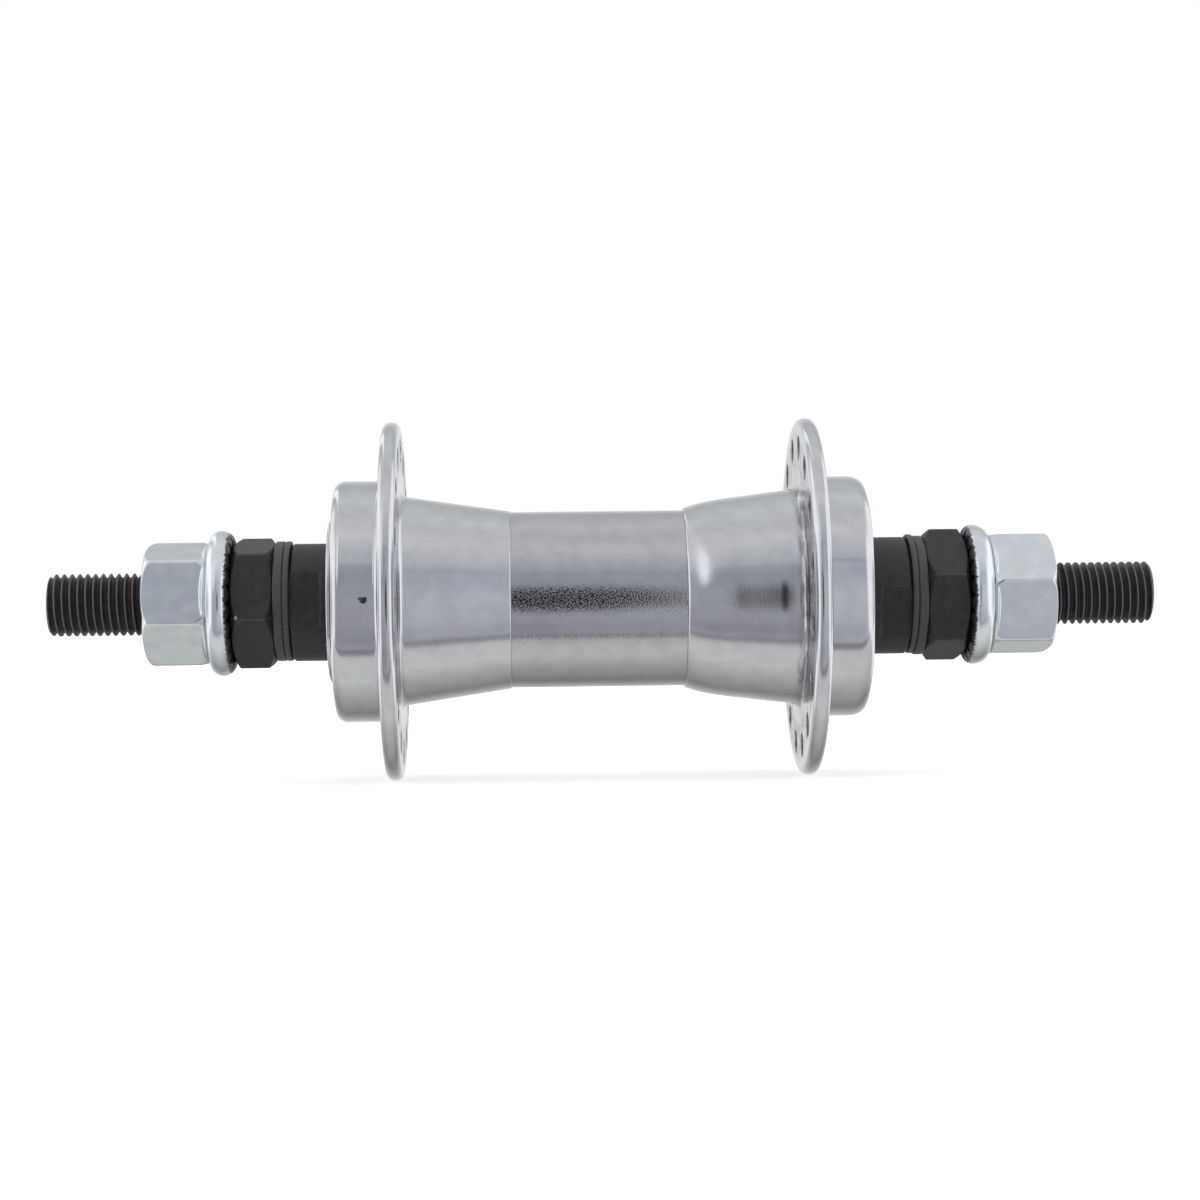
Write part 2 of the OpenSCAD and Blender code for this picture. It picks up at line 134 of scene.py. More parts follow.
# Softboxes in shares of the room's radius, beside the hub's middle and above it
SOFTBOX_EDGE = (0.6, 0.74)
SOFTBOX_BACK = (0.93, 0.985)
SOFTBOX_LEAN = 0.1
SOFTBOX_FOOT = (-0.52, -0.38)
SOFTBOX_TOP = (0.6, 0.85)
STRIP_PLACE = (-0.39, 0.56)
STRIP_RADII = (0.1, 0.42)
STRIP_LEAN = -0.07
STRIP_FADE = (0.5, 1.0)
STRIP_FOOT = (0.5, 0.52)
SOFTBOX_TONE = (1.5, 1.5, 1.53)
# Place in metres, width, height and power of each lamp
SOFT_LIGHTS = {
    "key_light": ((-0.49, -0.72, 0.62), 0.13, 1.0, 0.5),
    "left_light": ((-1.3, -0.35, 0.2), 1.0, 1.7, 6.5),
    "right_light": ((1.3, -0.35, 0.2), 0.8, 1.7, 5.5),
    "top_light": ((0.1, 0.1, 1.3), 1.2, 0.8, 4.0),
}


class Wire:
    """A socket of a node tree. Sums written on wires become Math nodes of that tree."""

    def __init__(self, tree, socket=None):
        self.tree = tree
        self.socket = socket

    def node(self, kind, settings=None, inputs=None, output=0):
        """Adds a node: its settings first, then the values or wires of its sockets."""
        made = self.tree.nodes.new("ShaderNode" + kind)
        for name, value in (settings or {}).items():
            if name == "stops":
                stops = made.color_ramp.elements
                while len(stops) < len(value):
                    stops.new(0.5)
                for stop, (place, colour) in zip(stops, value):
                    stop.position = place
                    stop.color = (*colour, 1)
            else:
                setattr(made, name, value)
        for name, value in (inputs or {}).items():
            if isinstance(value, Wire):
                self.tree.links.new(value.socket, made.inputs[name])
            else:
                made.inputs[name].default_value = value
        return Wire(self.tree, made.outputs[output])

    def math(self, operation, *others):
        """A Math node of this wire and the others."""
        return self.node("Math", {"operation": operation}, dict(enumerate((self, *others))))

    def __add__(self, other):
        return self.math("ADD", other)

    def __sub__(self, other):
        return self.math("SUBTRACT", other)

    def __mul__(self, other):
        return self.math("MULTIPLY", other)

    def __truediv__(self, other):
        return self.math("DIVIDE", other)

    def __pow__(self, other):
        return self.math("POWER", other)

    def __abs__(self):
        return self.math("ABSOLUTE")

    def __rsub__(self, other):
        return self.node("Math", {"operation": "SUBTRACT"}, {0: other, 1: self})

    __radd__ = __add__
    __rmul__ = __mul__

    def ramp(self, low, high):
        """0 below low, 1 above high and a soft climb between."""
        settings = {"interpolation_type": "SMOOTHSTEP"}
        return self.node("MapRange", settings, {0: self, 1: low, 2: high, 3: 0.0, 4: 1.0})

    def blend(self, one, other):
        """Colour one where this wire is 0, the other where it is 1."""
        colours = [(*c, 1) if isinstance(c, tuple) else c for c in (one, other)]
        settings = {"data_type": "RGBA"}
        return self.node("Mix", settings, {0: self, 6: colours[0], 7: colours[1]}, output=2)

    def parts(self):
        """The three numbers of a vector."""
        split = self.node("SeparateXYZ", inputs={0: self}).socket.node
        return [Wire(self.tree, out) for out in split.outputs]

    def feed(self, node, name):
        """Leads this wire to a socket of a node that is there already."""
        self.tree.links.new(self.socket, node.inputs[name])


def studio_surface(name):
    """An empty material, its output node and a wire to start from."""
    material = bpy.data.materials.new(name)
    material.use_nodes = True
    material.node_tree.nodes.clear()
    end = material.node_tree.nodes.new("ShaderNodeOutputMaterial")
    return material, end, Wire(material.node_tree)


def studio_piece(name, points, faces, material, unseen):
    """A mesh of points in metres that isn't part of the hub, unseen by some kinds of ray."""
    mesh = bpy.data.meshes.new(name)
    mesh.from_pydata(points, [], faces)
    mesh.materials.append(material)
    made = bpy.data.objects.new(name, mesh)
    bpy.context.scene.collection.objects.link(made)
    for ray in unseen:
        setattr(made, "visible_" + ray, False)


def lattice(first, second, formula):
    """Points of a formula of two numbers on a grid, and the four-sided faces between them."""
    one, two = np.meshgrid(first, second, indexing="ij")
    points = np.stack(formula(one, two), axis=-1).reshape(-1, 3)
    number = np.arange(one.size).reshape(one.shape)
    faces = np.stack([number[:-1, :-1], number[1:, :-1], number[1:, 1:], number[:-1, 1:]], axis=-1)
    return points.tolist(), faces.reshape(-1, 4).tolist()


bpy.context.scene.view_settings.view_transform = "Standard"
world = bpy.data.worlds.new("white_sky")
bpy.context.scene.world = world
world.use_nodes = True
world.node_tree.nodes.clear()
sky_end = world.node_tree.nodes.new("ShaderNodeOutputWorld")
sky = Wire(world.node_tree)
looks = [sky.node("LightPath", output=ray) for ray in
         ("Is Camera Ray", "Is Glossy Ray", "Is Transmission Ray")]
seen = looks[0].math("MAXIMUM", looks[1].math("MAXIMUM", looks[2]))
plain = sky.node("Background", inputs={0: (1, 1, 1, 1), 1: SKY_ON_PAINT})
white = sky.node("Background", inputs={0: (1, 1, 1, 1), 1: 1.0})
sky.node("MixShader", inputs={0: seen, 1: plain, 2: white}).feed(sky_end, "Surface")

floor_surface, floor_end, start = studio_surface("white_floor")
seen = start.node("LightPath", output="Is Camera Ray")
matt = start.node("BsdfDiffuse", inputs={0: (FLOOR_GREY,) * 3 + (1,)})
glow = start.node("Emission", inputs={0: (1, 1, 1, 1), 1: seen * FLOOR_GLOW})
start.node("AddShader", inputs={0: matt, 1: glow}).feed(floor_end, "Surface")
floor_points = lattice(np.linspace(-1, 1, 3), np.linspace(-1, 1, 3), lambda x, y: (
    x * FLOOR_SIZE, y * FLOOR_SIZE, 0 * x + cad_box[0].z))
studio_piece("floor", *floor_points, floor_surface, ["glossy"])

room_surface, room_end, start = studio_surface("room_round_the_table")
across, away, up = start.node("TexCoord", output="Object").parts()
turn = up.math("ARCTAN2", 0 - away) / math.tau + 0.5
tones = [((angle + 180) / 360, tone) for angle, tone in ROOM_TONES]
tone = turn.node("ValToRGB", {"stops": tones}, {0: turn})
beside = abs(across) / ROOM_RADIUS
tone = beside.ramp(*SIDE_WALL).blend(tone, SIDE_TONE)
high_up = up / ROOM_RADIUS
softbox = (beside + high_up * SOFTBOX_LEAN).ramp(*SOFTBOX_EDGE) * (1 - beside.ramp(*SOFTBOX_BACK))
softbox = softbox * high_up.ramp(*SOFTBOX_FOOT) * (1 - high_up.ramp(*SOFTBOX_TOP))
over_strip = high_up - STRIP_PLACE[1]
past_strip = across / ROOM_RADIUS - STRIP_PLACE[0] + over_strip * STRIP_LEAN
strip = ((past_strip / STRIP_RADII[0]) ** 2 + (over_strip / STRIP_RADII[1]) ** 2) ** 0.5
softbox = softbox.math("MAXIMUM", (1 - strip.ramp(*STRIP_FADE)) * turn.ramp(*STRIP_FOOT))
tone = softbox.blend(tone, SOFTBOX_TONE)
front = turn.ramp(*FRONT_FOOT) * (1 - turn.ramp(*FRONT_TOP)) * (1 - softbox)
from_left = across.ramp(*FRONT_SLOPE)
strength = 1 + front * (from_left * FRONT_RISE - FRONT_DIM)
start.node("Emission", inputs={0: tone, 1: strength}).feed(room_end, "Surface")
room_points = lattice(np.linspace(0, math.pi, 25), np.linspace(0, math.tau, 49), lambda a, b: (
    ROOM_RADIUS * np.cos(a), ROOM_RADIUS * np.sin(a) * np.cos(b),
    ROOM_RADIUS * np.sin(a) * np.sin(b)))
studio_piece("room", *room_points, room_surface, ["camera", "diffuse", "shadow", "transmission"])

lens_surface, lens_end, start = studio_surface("dark_lens")
across, away, up = start.node("TexCoord", output="Object").parts()
middle = [value / 1000 for value in LENS_PLACE]
wide, tall = [value / 1000 for value in LENS_RADII]
apart = ((across - middle[0]) / wide) ** 2 + ((up - middle[2]) / tall) ** 2
covering = 1 - (apart ** 0.5).ramp(*LENS_FADE)
dark = start.node("Emission", inputs={0: (*LENS_TONE, 1), 1: 1.0})
clear = start.node("BsdfTransparent")
start.node("MixShader", inputs={0: covering, 1: clear, 2: dark}).feed(lens_end, "Surface")
lens_points = lattice(np.linspace(0.02, 1, 9), np.linspace(0, math.tau, 49), lambda r, a: (
    middle[0] + r * wide * np.cos(a), middle[1] + 0 * r, middle[2] + r * tall * np.sin(a)))
studio_piece("lens", *lens_points, lens_surface, ["camera", "diffuse", "shadow", "transmission"])

for name, (place, width, height, power) in SOFT_LIGHTS.items():
    lamp = bpy.data.lights.new(name, "AREA")
    lamp.shape = "RECTANGLE"
    lamp.size = width
    lamp.size_y = height
    lamp.energy = power
    light = bpy.data.objects.new(name, lamp)
    light.location = place
    light.rotation_euler = (-Vector(place)).to_track_quat("-Z", "Y").to_euler()
    light.visible_camera = False
    light.visible_glossy = False
    bpy.context.scene.collection.objects.link(light)

# The axle is a steel bar with rolled threads on both ends, bevelled at the ends and
# blacked. Its thread is right-handed, and handling has rubbed the crests bare.
THREAD_PITCH = 0.977
THREAD_DEPTH = 0.52
THREAD_CREST = 0.14
THREAD_ROOT_ROUND = 0.3
THREAD_START = 43.5
THREAD_FADE = 1.0
THREAD_SEEN = 56.5
PITCH_ROWS_HIDDEN = 8
PITCH_ROWS_SEEN = 24
CREST_RUBBED_FALL = 15
AXLE_BEVEL = 0.45
AXLE_DOME = 0.12
AXLE_END_RIM = 0.05
AXLE_COLUMNS = 72
MERGE_DISTANCE = 2e-6
BLACKED_STEEL = (0.0155, 0.0122, 0.0132)
BLACKED_STEEL_LIGHT = (0.029, 0.0235, 0.0245)
RUBBED_STEEL = (0.11, 0.1, 0.096)


def box_in_mm(node):
    """Lowest and highest corner of a node, in millimetres."""
    return [1000 * np.array(corner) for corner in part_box(node)]


def wrapped(along, radius, angle):
    """Points round the axle. At an angle a from the top towards the camera, y is -r sin a and z is
    r cos a."""
    along, radius, angle = np.broadcast_arrays(along, radius, angle)
    return np.stack([along, -radius * np.sin(angle), radius * np.cos(angle)], axis=-1)


def round_angles(columns):
    """Angles of the columns of a grid round the axle."""
    return np.arange(columns) * math.tau / columns


def skin(name, grids, material, looped=True, **marks):
    """One closed mesh over grids of points in millimetres. Each grid closes round its columns,
    and round its rows where it is looped. Points in one place become one. A mark is a number
    kept at every point for the material."""
    faces, start = [], 0
    for grid in grids:
        rows, columns = grid.shape[:2]
        number = start + np.arange(rows * columns).reshape(rows, columns)
        start += rows * columns
        number = np.vstack([number, number[:1]]) if looped else number
        number = np.hstack([number, number[:, :1]])
        faces.append(np.stack([number[:-1, :-1], number[1:, :-1], number[1:, 1:], number[:-1, 1:]],
                              axis=-1).reshape(-1, 4))
    points = np.concatenate([grid.reshape(-1, 3) for grid in grids]) / 1000
    faces = np.concatenate(faces)
    mesh = bpy.data.meshes.new(name)
    mesh.vertices.add(len(points))
    mesh.vertices.foreach_set("co", points.ravel())
    mesh.loops.add(faces.size)
    mesh.loops.foreach_set("vertex_index", faces.ravel())
    mesh.polygons.add(len(faces))
    mesh.polygons.foreach_set("loop_start", np.arange(len(faces)) * 4)
    mesh.update(calc_edges=True)
    for mark, values in marks.items():
        mesh.attributes.new(mark, "FLOAT", "POINT").data.foreach_set("value", values.ravel())
    form = bmesh.new()
    form.from_mesh(mesh)
    bmesh.ops.remove_doubles(form, verts=form.verts, dist=MERGE_DISTANCE)
    bmesh.ops.recalc_face_normals(form, faces=form.faces)
    form.to_mesh(mesh)
    form.free()
    mesh.shade_smooth()
    mesh.materials.append(material)
    made = bpy.data.objects.new(name, mesh)
    bpy.context.scene.collection.objects.link(made)
    return made


def stands_for(made, node):
    """The new piece takes the place of a node: it rides on the same body, and the node is hidden."""
    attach(made, frame["nodes"][node]["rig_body"])
    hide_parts(node)


def finish_of(name, metallic, roughness):
    """A new material, its shader and the wire of its places on the piece, in millimetres."""
    material = bpy.data.materials.new(name)
    material.use_nodes = True
    shader = material.node_tree.nodes["Principled BSDF"]
    shader.inputs["Metallic"].default_value = metallic
    shader.inputs["Roughness"].default_value = roughness
    start = Wire(material.node_tree)
    metres = start.node("TexCoord", output="Object")
    return material, shader, metres.node(
        "VectorMath", {"operation": "SCALE"}, {0: metres, "Scale": 1000.0})


def clouds(place, scale, detail=3.0, stretch=(1, 1, 1)):
    """A soft random pattern from 0 to 1 with about scale spots in a millimetre."""
    place = place.node("VectorMath", {"operation": "MULTIPLY"}, {0: place, 1: stretch})
    return place.node("TexNoise", inputs={"Vector": place, "Scale": scale, "Detail": detail})


def dented(shader, height, depth):
    """Lets a pattern tilt the surface as if it stood that many millimetres high."""
    height.node("Bump", inputs={"Height": height, "Distance": depth / 1000}).feed(shader, "Normal")


def spotted(colour, place, spots):
    """The colour with small uneven spots on it, given by place, size in millimetres and colour."""
    ragged = clouds(place, 3.0, detail=3.0)
    for middle, size, tint in spots:
        away = place.node("VectorMath", {"operation": "DISTANCE"}, {0: place, 1: middle}, output=1)
        inside = 1 - (away / size + ragged).ramp(1.0, 1.4)
        colour = inside.blend(colour, tint)
    return colour


def blacked_steel(name, worn_colour=RUBBED_STEEL, spots=()):
    """Dark steel, cloudy and slightly grainy, worn to another colour where its mark says rubbed."""
    material, shader, place = finish_of(name, metallic=0.0, roughness=0.42)
    shader.inputs["Specular IOR Level"].default_value = 0.4
    mottle = clouds(place, 1.1, detail=4.0)
    grain = clouds(place, 7.0, detail=2.0)
    colour = mottle.ramp(0.35, 0.75).blend(BLACKED_STEEL, BLACKED_STEEL_LIGHT)
    (0.34 + 0.2 * mottle + 0.1 * grain).feed(shader, "Roughness")
    worn = mottle.node("Attribute", {"attribute_name": "rubbed"}, output="Fac")
    worn = (worn * grain.ramp(0.1, 0.6)).ramp(0.1, 0.9)
    colour = worn.blend(colour, worn_colour)
    spotted(colour, place, spots).feed(shader, "Base Color")
    dented(shader, grain, depth=0.015)
    return material


low, high = box_in_mm("axle")
axle_r = high[2]
angle = round_angles(AXLE_COLUMNS)


def shaft_rows(end):
    """Places from the middle of the axle to its end: few on the plain shaft, more where the nuts
    hide the thread and most where it shows."""
    hidden = np.arange(THREAD_START, THREAD_SEEN, THREAD_PITCH / PITCH_ROWS_HIDDEN)
    shown = np.arange(THREAD_SEEN, end, THREAD_PITCH / PITCH_ROWS_SEEN)
    return np.concatenate([np.linspace(0, THREAD_START, 9)[1:-1], hidden, shown])


# The groove moves along by one pitch in each turn. It is a V with a rounded root between narrow
# crests, and it fades out towards the plain middle of the axle.
along = np.concatenate([-shaft_rows(-low[0])[::-1], [0], shaft_rows(high[0])])[:, None]
turn = (along / THREAD_PITCH - angle / math.tau) % 1
from_groove = np.abs(turn - 0.5) * THREAD_PITCH / ((THREAD_PITCH - THREAD_CREST) / 2)
soft = np.hypot(from_groove, THREAD_ROOT_ROUND) - THREAD_ROOT_ROUND
soft /= math.hypot(1, THREAD_ROOT_ROUND) - THREAD_ROOT_ROUND
depth = np.clip(1 - soft, 0, 1) * np.clip((np.abs(along) - THREAD_START) / THREAD_FADE, 0, 1)
to_end = np.where(along < 0, along - low[0], high[0] - along)
bevel = axle_r - AXLE_BEVEL + np.minimum(to_end, AXLE_BEVEL)
radius = np.minimum(axle_r - THREAD_DEPTH * depth, bevel)
across_end = np.linspace(0, axle_r - AXLE_BEVEL - AXLE_END_RIM, 9)[:, None]
dome = AXLE_DOME * (across_end / axle_r) ** 2
shaft = np.concatenate([
    wrapped(low[0] + dome, across_end, angle), wrapped(along, radius, angle),
    wrapped(high[0] - dome, across_end, angle)[::-1]])
crests = np.clip(1 - CREST_RUBBED_FALL * depth, 0, 1) * (np.abs(along) > THREAD_START)
unrubbed = np.zeros((len(across_end), AXLE_COLUMNS))
rubbed = np.concatenate([unrubbed, crests, unrubbed])
axle_steel = blacked_steel("blacked_thread")
axle = skin("axle_bar", [shaft], axle_steel, looped=False, rubbed=rubbed)
stands_for(axle, "axle")

# The two cones screw on the axle: turned and hardened steel, blacked, with a ground race
# inside the hub and two flats outside it, where a thin spanner holds the cone.
CONE_AF = 13.0
CONE_FLAT_LENGTH = 3.9
CONE_BEVEL = 0.35
CONE_NOSE_R = 6.27
CONE_RACE_R = 2.43
CONE_RACE_MIDDLE = (28.5, 8.7)
CONE_FLAT_HEIGHTS = {"left": 2, "right": -20}
CONE_COLUMNS = 160
CONE_ROW_STEP = 0.12
MILLED_EDGE = 0.1
RUBBED_WIDTH = 0.08
LEAST_COSINE = 0.2
RUBBED_STRENGTH = 0.6
BORE_CLEAR = 0.05
EASE = 0.1
CORNER_POINTS = 6
# Shares of a side that a rounding, and the point that keeps its flat flat, may take at most,
# and the distance of that point in roundings
LONGEST_EASE = 0.4
FURTHEST_KEEPER = 0.48
KEEPER_PLACE = 1.5
TINY = 1e-9


def eased(corners):
    """A closed profile with its corners rounded. Each corner is a place along the axle, a radius
    and the length of its rounding: a parabola between two points on its sides, with a point
    more on each side to keep the flats flat."""
    corners = np.array(corners, float)
    at, size = corners[:, :2], corners[:, 2]
    ahead = np.roll(at, -1, axis=0) - at
    length = np.hypot(*ahead.T)
    ahead /= np.maximum(length, TINY)[:, None]
    behind, behind_length = -np.roll(ahead, 1, axis=0), np.roll(length, 1)
    room = np.minimum(length, behind_length)
    size = np.minimum(size, LONGEST_EASE * room)[:, None]
    spare = np.minimum(KEEPER_PLACE * size, FURTHEST_KEEPER * room[:, None])
    t = np.linspace(0, 1, CORNER_POINTS)[None, :, None]
    first, last = (at + size * behind)[:, None], (at + size * ahead)[:, None]
    bend = (1 - t) ** 2 * first + 2 * t * (1 - t) * at[:, None] + t ** 2 * last
    before, after = (at + spare * behind)[:, None], (at + spare * ahead)[:, None]
    return np.concatenate([before, bend, after], axis=1).reshape(-1, 2)


def filled(profile, step):
    """The same closed profile with points added, so that no two lie further apart than step."""
    closed = np.vstack([profile, profile[:1]])
    travelled = np.concatenate([[0], np.cumsum(np.hypot(*np.diff(closed, axis=0).T))])
    stops = np.union1d(travelled, np.arange(0, travelled[-1], step))[:-1]
    return np.stack([np.interp(stops, travelled, closed[:, i]) for i in (0, 1)], axis=1)


def arc(middle, radii, start, end, steps=10):
    """Corners on an elliptic arc in a profile, from one angle to another: the middle plus the
    radii times the cosine and the sine."""
    a = np.radians(np.linspace(start, end, steps))
    along, out = middle[0] + radii[0] * np.cos(a), middle[1] + radii[1] * np.sin(a)
    return [(x, r, 0) for x, r in zip(along, out)]


cone_steel = blacked_steel("blacked_cone", spots=[
    ((-34.1, -5.2, -5.3), 0.5, (0.2, 0.19, 0.18)), ((33.5, -6.6, 3.4), 0.3, RUBBED_STEEL)])
angle = round_angles(CONE_COLUMNS)
bore_r = axle_r + BORE_CLEAR
for side, sign in (("left", -1), ("right", 1)):
    low, high = box_in_mm(side + "_cone")
    inner, outer = sorted(abs(np.array([low[0], high[0]])))
    body_r = max(high[1], high[2])
    race_x, race_r = CONE_RACE_MIDDLE
    race_end = math.degrees(math.asin((body_r - race_r) / CONE_RACE_R))
    profile = filled(eased(
        [(outer, bore_r, 2 * EASE), (inner, bore_r, 2 * EASE), (inner, CONE_NOSE_R, 2 * EASE)]
        + arc((race_x, race_r), (CONE_RACE_R, CONE_RACE_R), -90, race_end)
        + [(outer - CONE_BEVEL, body_r, EASE), (outer, body_r - CONE_BEVEL, EASE)]), CONE_ROW_STEP)
    along, radius = profile[:, :1], profile[:, 1:]
    flat_turn = math.pi / 2 - math.radians(CONE_FLAT_HEIGHTS[side])
    flat = CONE_AF / 2 / np.maximum(np.abs(np.cos(angle - flat_turn)), LEAST_COSINE)
    milled = np.clip((along - (outer - CONE_FLAT_LENGTH)) / MILLED_EDGE, 0, 1)
    cut = np.minimum(radius, flat)
    rubbed = np.clip(1 - np.abs(radius - flat) / RUBBED_WIDTH, 0, 1) * milled * RUBBED_STRENGTH
    body = wrapped(sign * along, radius + (cut - radius) * milled, angle)
    made = skin(side + "_cone_body", [body], cone_steel, rubbed=rubbed)
    stands_for(made, side + "_cone")

# The balls, their pressed cages and the pressed-in cups are bright steel under a film of
# grease. Only slivers of them show past the dust caps, so they keep their simple forms.
BRIGHT_STEEL = (0.56, 0.56, 0.57)
GREASED_STEEL = (0.34, 0.33, 0.31)
# Roughness of each kind of piece, and how many spots its film of grease has in a millimetre
BEARING_FINISH = {"balls": (0.08, 0.6), "ball_cage": (0.3, 0.9), "bearing_cup": (0.18, 0.5)}


def bearing_steel(name, roughness, spots):
    """Ground steel with a thin uneven film of grease."""
    material, shader, place = finish_of(name, metallic=1.0, roughness=roughness)
    film = clouds(place, spots, detail=4.0)
    film.ramp(0.4, 0.7).blend(BRIGHT_STEEL, GREASED_STEEL).feed(shader, "Base Color")
    (roughness + 0.25 * film.ramp(0.45, 0.75)).feed(shader, "Roughness")
    dented(shader, clouds(place, 9.0), depth=0.004)
    return material


for kind, (roughness, spots) in BEARING_FINISH.items():
    steel = bearing_steel("steel_of_" + kind, roughness, spots)
    for side in ("left", "right"):
        frame["nodes"][f"{side}_{kind}"].material_slots[0].material = steel

# The shell is three turned pieces of steel, polished and plated: two ends, each with its
# neck, spoke flange and bearing housing, and a barrel pressed over their spigots.
SEAM_EASE = 0.06
BARREL_BORE_R = 9.6
SPIGOT_R = 9.58
SPIGOT_BORE_R = 8.3
SPIGOT_LENGTH = 5
FLANGE_INNER = 25.0
FLANGE_OUTER = 27.1
RIM_ROUND = 0.9
FILLET = 0.9
HOUSING_R = 15.2
CUP_R = 13.2
CUP_BOSS_R = 11
CUP_BOSS_HOLE_R = 9.8
CUP_SHOULDER = 26.62
CUP_BACK = 25.22
SEAM_SHIFT = {"left": 0.45, "right": 0.25}
NECKS = {"left": (11.2, 13.12, 0.0), "right": (11.3, 13.6, 0.56)}
SHOULDER_LENGTH = 2.6
RIPPLES = {"left": [], "right": [(16.8, 1.1, 0.018), (22.2, 0.25, 0.013), (24.2, 0.9, -0.05)]}
MOUTHS = {"left": (1.35, 0.95), "right": (2.0, 1.2)}
HOLES = 16
HOLE_R = 1.3
HOLE_BEVEL = 0.3
HOLE_CIRCLE_R = 19
HOLE_COLUMNS = 40
HOLE_EDGE = 0.06
HOLE_BAND = (17.0, 21.0)
FIRST_HOLE = {"left": 0, "right": 0.5}
SHELL_COLUMNS = 192
NECK_ROWS = 81
HOLE_SHADE_AT_MOUTH = 0.3
BELOW_FACE = 0.01
PLATED = (0.52, 0.53, 0.545)
# Colour of the painted shade inside the spoke holes
HOLE_SHADE = (0.035, 0.035, 0.038)
CORNER_DARK_REFLECTION = (0.2, 0.2, 0.205)
# Where the drilled rings darken and the painted dark reflection lies, in millimetres from the middle:
# on the drilled rings and in the right corner
DRILLED_FROM = (15.6, 17.0)
DRILLED_TO = (20.0, 21.4)
CORNER_FROM = (23.6, 24.4)
CORNER_TO = (25.0, 25.6)
CORNER_OUT_TO = (16.5, 18.5)
PLATE_SPOTS = (
    ((-29.0, -15.2, 0.2), 0.6, (0.06, 0.058, 0.06)), ((-29.4, -15.1, 0.3), 0.35, (0.1, 0.1, 0.1)))


def plated_steel(name, brightness, rough, smooth, grain_depth):
    """Bright plate over turning marks: fine rings round the axle, a grain and soft clouds. It may
    be rougher between the flanges than outside them. The drilled rings are darker and duller in
    clouds, painted shade darkens the spoke holes, and a painted dark reflection streaks the corner
    of the right neck."""
    material, shader, place = finish_of(name, metallic=1.0, roughness=rough)
    rings = clouds(place, 5.0, detail=4.0, stretch=(1, 0.06, 0.06))
    cloud = clouds(place, 0.45, detail=5.0)
    grain = clouds(place, 5.6, detail=2.0).ramp(0.45, 0.75)
    along, away, up = place.parts()
    outside = abs(along).ramp(FLANGE_INNER - 0.5, FLANGE_OUTER)
    out = (away * away + up * up) ** 0.5
    # Darker, duller clouds over the drilled rings of both flanges
    drilled = out.ramp(*DRILLED_FROM) * (1 - out.ramp(*DRILLED_TO))
    drilled = drilled * clouds(place, 1.3, detail=4.0).ramp(0.3, 0.7)
    shades = [tuple(brightness * share * value for value in PLATED) for share in (1, 0.93, 0.42)]
    colour = spotted(cloud.ramp(0.4, 0.65).blend(shades[0], shades[1]), place, PLATE_SPOTS)
    colour = (drilled * 0.8).blend(colour, shades[2])
    # Painted dark reflection: dark streaks in the corner between the right neck and its flange
    corner = along.ramp(*CORNER_FROM) * (1 - along.ramp(*CORNER_TO)) * (1 - out.ramp(*CORNER_OUT_TO))
    streaks = clouds(place, 0.9, detail=3.0, stretch=(1.5, 0.4, 0.4)).ramp(0.42, 0.6)
    colour = (corner * (0.3 + 0.6 * streaks)).blend(colour, CORNER_DARK_REFLECTION)
    # Painted shade: the in_hole mark darkens and roughens the inside of each spoke hole
    hole_shade = grain.node("Attribute", {"attribute_name": "in_hole"}, output="Fac")
    (hole_shade * 0.85).blend(colour, HOLE_SHADE).feed(shader, "Base Color")
    base = rough + (smooth - rough) * outside
    (base + 0.05 * cloud + 0.04 * rings + 0.15 * drilled + 0.3 * hole_shade).feed(shader, "Roughness")
    dented(shader, rings * 0.2 + grain * (1 - 0.8 * outside) * grain_depth, depth=0.01)
    return material


barrel_plate = plated_steel(
    "plated_barrel", brightness=0.86, rough=0.05, smooth=0.05, grain_depth=0.65)
end_plate = plated_steel(
    "plated_shell_end", brightness=1.0, rough=0.1, smooth=0.05, grain_depth=0.15)
angle = round_angles(SHELL_COLUMNS)

low, high = box_in_mm("barrel")
left_end, right_end = low[0] + SEAM_SHIFT["left"], high[0] - SEAM_SHIFT["right"]
barrel_profile = eased([
    (left_end, high[2], SEAM_EASE), (right_end, high[2], SEAM_EASE),
    (right_end, BARREL_BORE_R, SEAM_EASE), (left_end, BARREL_BORE_R, SEAM_EASE)])
tube = wrapped(barrel_profile[:, :1], barrel_profile[:, 1:], angle)
barrel = skin("barrel_tube", [tube], barrel_plate)
stands_for(barrel, "barrel")


